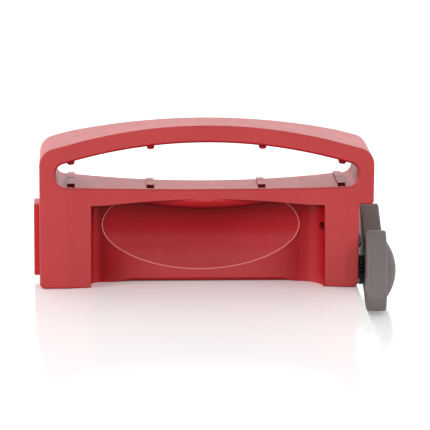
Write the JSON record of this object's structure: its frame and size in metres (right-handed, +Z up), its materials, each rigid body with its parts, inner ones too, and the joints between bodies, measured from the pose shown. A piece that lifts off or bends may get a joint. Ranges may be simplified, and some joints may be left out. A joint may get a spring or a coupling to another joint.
{
  "type": "can opener",
  "caption": "Hand-held can opener: moulded housing with a grip window and finger scoop, side turn key driving a toothed feed wheel, and a cutter wheel lifted by a side button",
  "frame": {"origin": "bottom centre of the box round the whole opener; the bottom is the lowest point of the turn key's cap, 9.3 mm below the feet", "axes": "+X to the right along the housing towards the turn key, +Y away from the user, +Z up"},
  "size_m": [0.1364, 0.0482, 0.07],
  "materials": {
    "housing_red": "semi-matt moulded plastic with a fine texture",
    "button_red": "semi-matt moulded plastic",
    "key_grey": "matt warm grey moulded plastic",
    "cap_grey": "matt warm grey moulded plastic",
    "wheel_steel": "hardened dark steel, ground edges",
    "plate_steel": "stamped steel with a black oxide finish",
    "bright_steel": "turned steel",
    "screw_steel": "zinc-plated steel",
    "spring_steel": "drawn spring wire",
    "acetal_white": "natural acetal",
    "bush_brass": "turned brass"
  },
  "bodies": {
    "housing": {"front_shell": "housing_red", "rear_shell": "housing_red", "case_screws": "screw_steel", "rod_bushes": "acetal_white", "drive_plate": "plate_steel", "plate_screws": "screw_steel", "shaft_bush": "bush_brass", "guide_pins": "bright_steel", "button_spring": "spring_steel", "carriage_springs": "spring_steel"},
    "key": {"drive_shaft": "bright_steel", "thrust_washer": "bright_steel", "feed_wheel": "wheel_steel", "retaining_clip": "spring_steel", "turn_key": "key_grey", "key_screw": "screw_steel", "key_cap": "cap_grey"},
    "button": {"release_button": "button_red", "release_rod": "bright_steel"},
    "carriage": {"cutter_carriage": "plate_steel", "cutter_axle": "bright_steel", "axle_washer": "bright_steel"},
    "cutter": {"cutter_wheel": "wheel_steel"}
  },
  "joints": [
    {"name": "key_turn", "type": "hinge", "parent": "housing", "child": "key", "pos_m": [0.05502, -0.00194, 0.0127], "axis": [1, 0, 0], "continuous": true},
    {"name": "button_press", "type": "slide", "parent": "housing", "child": "button", "axis": [1, 0, 0], "range_m": [0, 0.0018], "stiffness_N_per_m": 400, "springref_m": -0.003, "deforming": ["button_spring"]},
    {"name": "carriage_lift", "type": "slide", "parent": "housing", "child": "carriage", "axis": [0, 0, 1], "range_m": [0, 0.0018], "stiffness_N_per_m": 300, "springref_m": -0.003, "deforming": ["carriage_springs"]},
    {"name": "cutter_spin", "type": "hinge", "parent": "carriage", "child": "cutter", "pos_m": [0.05332, -0.00194, 0.0241], "axis": [1, 0, 0], "continuous": true}
  ],
  "couplings": [
    {"joint": "carriage_lift", "follows": "button_press", "ratio": 1}
  ]
}
